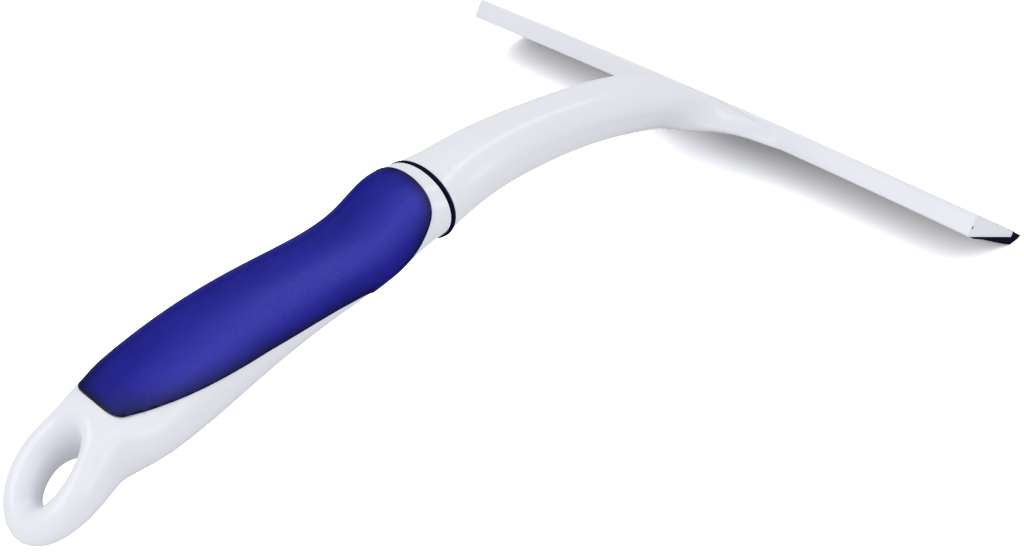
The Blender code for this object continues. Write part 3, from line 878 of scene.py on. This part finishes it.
def blue_grip():
    """Soft-touch rubber: satin and finely grained, with a paler painted highlight band along its +X
    shoulder, a painted highlight streak in that band, and painted shade darkening its rim.
    """
    material, tree, shader, where = new_material("blue_grip")
    painted_highlight_band = stored(tree, "painted_highlight_band")
    blotch = noise(tree, where, size=9.0, detail=4.0, stretch=(1.0, 0.6, 1.0))
    plain_blue = shades(tree, blotch, GRIP_SHADES)
    # Painted highlight: a paler blue band along the +X shoulder
    band_lit_blue = blend_colours(tree, painted_highlight_band, plain_blue, shades(tree, blotch, HIGHLIGHT_BAND_SHADES))
    # Painted highlight: a bright streak along the middle of the band
    painted_streak = calculate(tree, "POWER", painted_highlight_band, PAINTED_STREAK_NARROWNESS)
    with_painted_streak = blend_colours(tree, painted_streak, band_lit_blue, PAINTED_STREAK_COLOUR)
    dots = noise(tree, where, size=0.8, detail=2.0)
    amount = spread(tree, dots, low=0.0, high=0.30, source_low=0.45, source_high=0.75)
    speckled = blend_colours(tree, amount, with_painted_streak, SPECK_COLOUR)
    # Painted shade: near-black navy towards the panel's border
    colour = blend_colours(tree, stored(tree, "rim"), speckled, RIM_SHADE_COLOUR)
    tree.links.new(colour, shader.inputs["Base Color"])
    smear = noise(tree, where, size=4.0, detail=5.0, stretch=(1.0, 0.35, 1.0))
    tree.links.new(spread(tree, smear, low=0.36, high=0.44), shader.inputs["Roughness"])
    fading = gloss_fading_at_edges(tree, seen_flat=0.11, seen_edge_on=0.01)
    # The painted highlight band also raises the gloss
    band_gloss = spread(tree, painted_highlight_band, low=0.4, high=2.0, source_low=0.0, source_high=1.0)
    gloss = calculate(tree, "MULTIPLY", fading, band_gloss)
    tree.links.new(gloss, shader.inputs["Specular IOR Level"])
    grain = noise(tree, where, size=0.45, detail=3.0)
    wave = noise(tree, where, size=5.0, detail=3.0)
    add_bump(tree, shader, ((wave, 0.15, 0.2), (grain, 0.06, 0.8)))
    return material


def dark_rubber():
    """Smooth dark rubber with fine lines drawn along its length."""
    material, tree, shader, where = new_material("dark_rubber")
    tone = noise(tree, where, size=5.0, detail=3.0)
    tree.links.new(shades(tree, tone, RUBBER_SHADES), shader.inputs["Base Color"])
    tree.links.new(spread(tree, tone, low=0.36, high=0.46), shader.inputs["Roughness"])
    gloss = gloss_fading_at_edges(tree, seen_flat=0.04, seen_edge_on=0.005)
    tree.links.new(gloss, shader.inputs["Specular IOR Level"])
    lines = noise(tree, where, size=0.4, detail=2.0, stretch=(0.02, 1.0, 1.0))
    add_bump(tree, shader, ((lines, 0.02, 0.3),))
    return material


def split_long_edges(item):
    """Split the long edges, so that the values stored at the points change evenly between them."""
    work = bmesh.new()
    work.from_mesh(item.data)
    bmesh.ops.triangulate(work, faces=work.faces[:])
    for _ in range(SPLIT_ROUNDS):
        edges = [edge for edge in work.edges if edge.calc_length() > GRIP_EDGE_LENGTH * MM]
        if not edges:
            break
        bmesh.ops.subdivide_edges(work, edges=edges, cuts=1)
        bmesh.ops.triangulate(work, faces=work.faces[:])
    work.to_mesh(item.data)
    work.free()


def distance_to_outline(spot, outline):
    """Shortest distance from a point to a closed line, both in one plane."""
    best = math.inf
    for i in range(len(outline)):
        start = outline[i]
        side = outline[(i + 1) % len(outline)] - start
        if side.length < NO_LENGTH:
            continue
        share = max(0.0, min(1.0, (spot - start).dot(side) / side.length_squared))
        best = min(best, (spot - start - side * share).length)
    return best


def mark_rim_shade(item):
    """Store how near each point of the grip is to the border of the panel, where painted shade
    darkens its rim.
    """
    outline = [place(0.0, back, up) for back, up in rounded(GRIP_OUTLINE)]
    layer = item.data.attributes.new("rim", "FLOAT", "POINT")
    values = []
    for corner in item.data.vertices:
        spot = Vector((0.0, corner.co.y, corner.co.z))
        near = max(0.0, 1.0 - distance_to_outline(spot, outline) / (RIM_REACH * MM))
        values.append(near ** RIM_FALLOFF)
    layer.data.foreach_set("value", values)


def mark_painted_highlight_band(item):
    """Store the weight of the grip's painted highlight band at each point, which also raises the
    gloss there: most along its +X shoulder.
    """
    layer = item.data.attributes.new("painted_highlight_band", "FLOAT", "POINT")
    values = []
    for corner in item.data.vertices:
        angle = math.degrees(math.atan2(corner.normal.x, corner.normal.z))
        away = min(1.0, abs(angle - HIGHLIGHT_BAND_LEAN) / HIGHLIGHT_BAND_SPREAD)
        values.append(1.0 - away * away * (3.0 - 2.0 * away))
    layer.data.foreach_set("value", values)


def mark_pit_shade(item):
    """Store which faces line the gate mark's hole, where painted shade darkens the plastic."""
    middle = gate_spot()
    radius = GATE_RADIUS * PIT_MARGIN * MM
    near = set()
    for corner in item.data.vertices:
        gap = corner.co - middle
        if abs(gap.x) < 2 * GATE_DEPTH * MM and math.hypot(gap.y, gap.z) < radius:
            near.add(corner.index)
    layer = item.data.attributes.new("pit_shade", "FLOAT", "FACE")
    values = [float(near.issuperset(face.vertices)) for face in item.data.polygons]
    layer.data.foreach_set("value", values)


def show(item, node, material):
    """The piece stands for its node, with that slot's finish."""
    item.data.materials.clear()
    item.data.materials.append(material)
    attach(item, "root")
    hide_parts(node)


def build_pieces():
    """The five pieces, each with its finish."""
    parts = bpy.data.collections.new("squeegee_surfaces")
    cutters = bpy.data.collections.new("squeegee_cutters")
    bpy.context.scene.collection.children.link(parts)
    bpy.context.scene.collection.children.link(cutters)
    head = build_head(parts, cutters)
    blade = build_blade(parts, cutters)
    handle = build_handle(parts, cutters)
    grip = build_grip(parts, cutters)
    ring = build_joint_ring(parts, cutters)
    bpy.context.view_layer.update()
    for item in (head, blade, handle, grip, ring):
        freeze(item)
        keep_inside(item, cad_box)
    for item in list(cutters.objects):
        bpy.data.objects.remove(item, do_unlink=True)
    bpy.data.collections.remove(cutters)
    split_long_edges(grip)
    mark_rim_shade(grip)
    mark_painted_highlight_band(grip)
    mark_pit_shade(head)
    white = white_plastic()
    rubber = dark_rubber()
    show(head, "head", white)
    show(blade, "blade", rubber)
    show(handle, "handle", white)
    show(grip, "grip", blue_grip())
    show(ring, "joint_ring", rubber)


def plain_shader(tree, kind, colour, strength=None):
    """Output of a shader node of one colour, and of one strength where it has that."""
    node = tree.nodes.new(kind)
    node.inputs["Color"].default_value = (*colour, 1.0)
    if strength is not None:
        node.inputs["Strength"].default_value = strength
    return node.outputs[0]


def mix_shaders(tree, factor, first, second):
    """Output that goes from the first shader to the second one as the factor goes from 0 to 1."""
    node = tree.nodes.new("ShaderNodeMixShader")
    tree.links.new(factor, node.inputs["Fac"])
    tree.links.new(first, node.inputs[1])
    tree.links.new(second, node.inputs[2])
    return node.outputs[0]


def make_world():
    """Pale fill light, which the camera, reflections and clear surfaces see as plain white."""
    world = bpy.data.worlds.new("studio")
    bpy.context.scene.world = world
    world.use_nodes = True
    tree = world.node_tree
    tree.nodes.clear()
    fill = plain_shader(tree, "ShaderNodeBackground", WORLD_COLOUR, WORLD_LEVEL)
    white = plain_shader(tree, "ShaderNodeBackground", WHITE, 1.0)
    path = tree.nodes.new("ShaderNodeLightPath")
    seen = calculate(tree, "MAXIMUM", path.outputs["Is Camera Ray"], path.outputs["Is Glossy Ray"])
    seen = calculate(tree, "MAXIMUM", seen, path.outputs["Is Transmission Ray"])
    output = tree.nodes.new("ShaderNodeOutputWorld")
    tree.links.new(mix_shaders(tree, seen, fill, white), output.inputs["Surface"])


def make_floor():
    """Plain pale floor that keeps the shadow, and shows white where nothing shades it."""
    mesh = bpy.data.meshes.new("floor")
    body = bmesh.new()
    bmesh.ops.create_grid(body, x_segments=1, y_segments=1, size=FLOOR_REACH)
    body.to_mesh(mesh)
    body.free()
    floor = add_object("floor", mesh, bpy.context.scene.collection)
    floor.location.z = -FLOOR_DROP * MM
    material = bpy.data.materials.new("pale_floor")
    material.use_nodes = True
    tree = material.node_tree
    tree.nodes.clear()
    plain = plain_shader(tree, "ShaderNodeBsdfDiffuse", (FLOOR_LEVEL, FLOOR_LEVEL, FLOOR_LEVEL))
    bright = plain_shader(tree, "ShaderNodeBsdfDiffuse", (FLOOR_GAIN, FLOOR_GAIN, FLOOR_GAIN))
    glow = plain_shader(tree, "ShaderNodeEmission", WHITE, FLOOR_LIFT)
    seen = tree.nodes.new("ShaderNodeAddShader")
    tree.links.new(bright, seen.inputs[0])
    tree.links.new(glow, seen.inputs[1])
    path = tree.nodes.new("ShaderNodeLightPath")
    surface = mix_shaders(tree, path.outputs["Is Camera Ray"], plain, seen.outputs[0])
    output = tree.nodes.new("ShaderNodeOutputMaterial")
    tree.links.new(surface, output.inputs["Surface"])
    mesh.materials.append(material)


def area_lamp(name, spot, size, power, colour):
    """Soft box that points at the middle of the squeegee."""
    data = bpy.data.lights.new(name, "AREA")
    data.shape = "RECTANGLE"
    data.size = size[0]
    data.size_y = size[1]
    data.energy = power
    data.color = colour
    lamp = add_object(name, data, bpy.context.scene.collection)
    lamp.location = spot
    lamp.rotation_euler = (Vector(LAMP_AIM) - Vector(spot)).to_track_quat("-Z", "Y").to_euler()


def make_camera():
    """Camera at the photograph's place, aim and focal length."""
    data = bpy.data.cameras.new("camera")
    camera = add_object("camera", data, bpy.context.scene.collection)
    turn = math.radians(CAMERA_YAW)
    dip = math.radians(CAMERA_PITCH)
    roll = math.radians(CAMERA_ROLL)
    right = Vector((math.cos(turn), math.sin(turn), 0.0))
    level = Vector((-math.sin(turn), math.cos(turn), 0.0))
    aim = math.cos(dip) * level - math.sin(dip) * Vector((0.0, 0.0, 1.0))
    top = right.cross(aim)
    side = math.cos(roll) * right + math.sin(roll) * top
    up = -math.sin(roll) * right + math.cos(roll) * top
    pose = Matrix((side, up, -aim)).transposed().to_4x4()
    pose.translation = Vector(CAMERA_PLACE) * MM
    camera.matrix_world = pose
    data.sensor_width = SENSOR_WIDTH
    data.lens = CAMERA_FOCAL_PIXELS * SENSOR_WIDTH / IMAGE_WIDTH
    data.clip_start = NEAR_LIMIT
    bpy.context.scene.camera = camera


def main():
    """Camera, light, floor and pieces."""
    bpy.context.scene.view_settings.view_transform = "Standard"
    make_camera()
    make_world()
    make_floor()
    for lamp in LAMPS:
        area_lamp(*lamp)
    build_pieces()


main()
